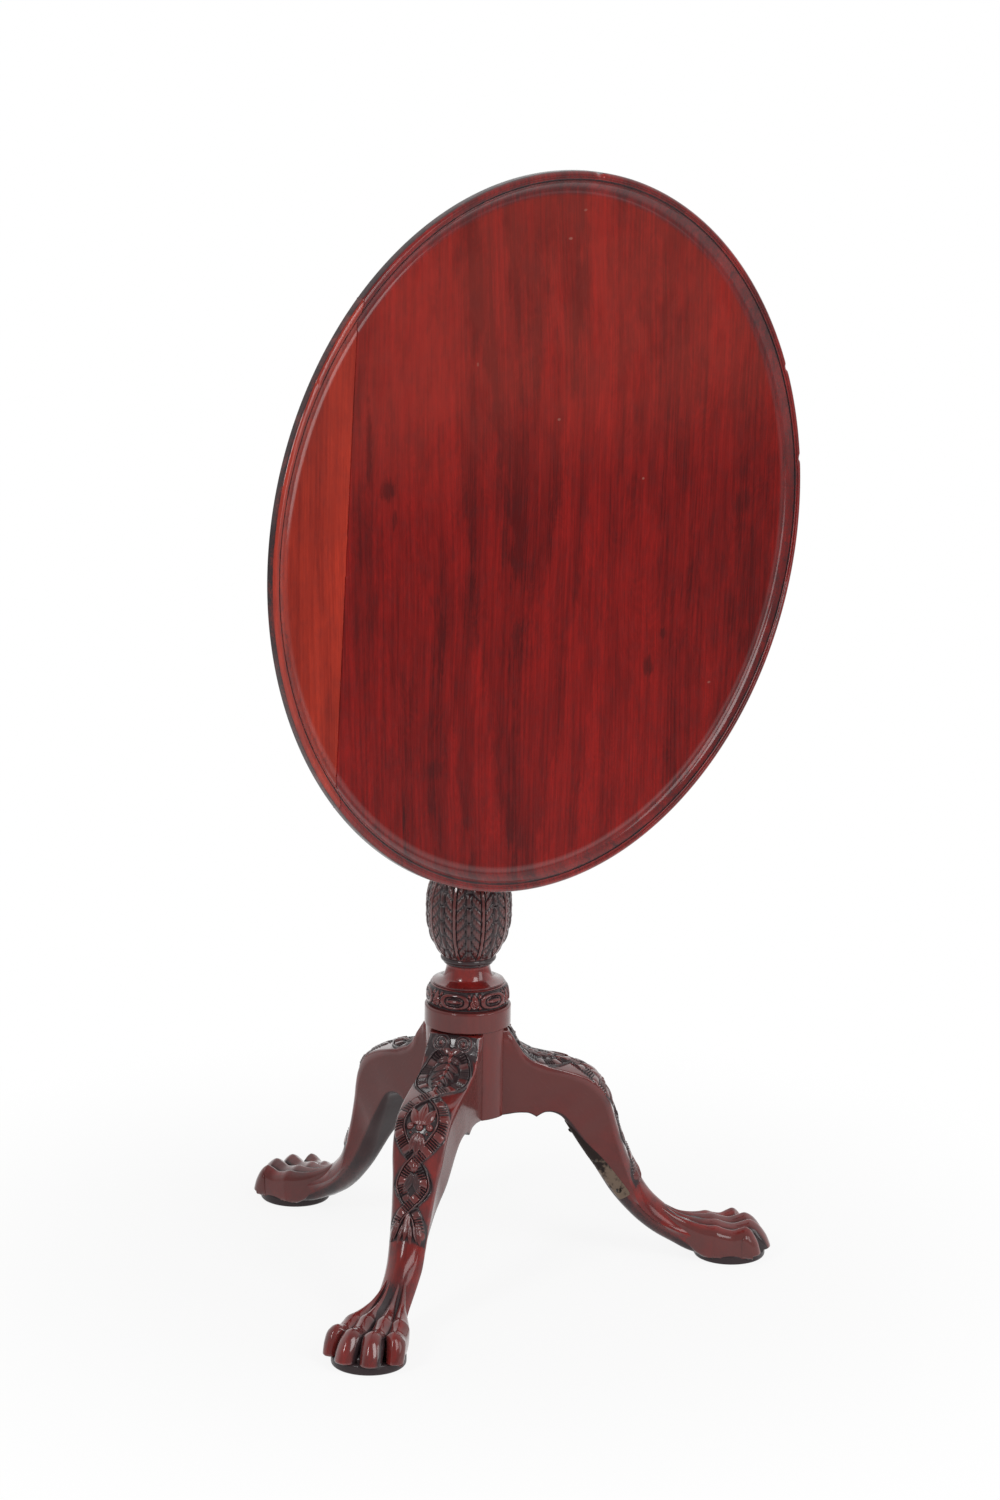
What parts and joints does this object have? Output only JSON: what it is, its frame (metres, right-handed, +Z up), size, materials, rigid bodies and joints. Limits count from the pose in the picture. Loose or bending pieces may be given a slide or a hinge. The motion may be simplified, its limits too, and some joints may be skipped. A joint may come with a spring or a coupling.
{
  "type": "tilt-top tripod table",
  "caption": "Round tilt-top tripod table: a dished top hinged on a block over a turned, carved column with cabriole legs, carved knees and paw feet on round pads",
  "frame": {"origin": "On the floor, on the column's axis.", "axes": "+Z is up. The top is tilted up at rest and its face looks along -Y, so +Y points to its back. The hinge axis runs along X; +X is on the right of someone who looks at the top's face."},
  "size_m": [0.684, 0.4997, 1.1007],
  "materials": {
    "mahogany": "polished, worn",
    "light_mahogany": "polished, worn",
    "brass": "tarnished",
    "old_brass": "dark, rubbed",
    "iron": "darkened",
    "spring_steel": "dull"
  },
  "bodies": {
    "stand": {"column": "mahogany", "tenon_wedge": "light_mahogany", "pivot_block": "mahogany", "strike_plate": "brass", "strike_screws": "brass", "leg_front_left": "mahogany", "leg_front_right": "mahogany", "leg_back": "mahogany", "repair_strap": "old_brass", "strap_screws": "iron"},
    "top": {"top_main_board": "mahogany", "top_side_board": "light_mahogany", "bearer_left": "mahogany", "bearer_right": "mahogany", "bearer_screws": "iron", "catch_plate": "brass", "catch_housing": "brass", "catch_spring": "spring_steel", "catch_screws": "brass"},
    "bolt": {"catch_bolt": "brass", "catch_knob": "brass"}
  },
  "joints": [
    {"name": "top_tilt", "type": "hinge", "parent": "stand", "child": "top", "pos_m": [0, -0.07, 0.6887], "axis": [-1, 0, 0], "range_deg": [0, 90]},
    {"name": "catch_slide", "type": "slide", "parent": "top", "child": "bolt", "axis": [0, 0, 1], "range_m": [0, 0.0065], "stiffness_N_per_m": 300, "springref_m": -0.01, "deforming": ["catch_spring"]}
  ]
}
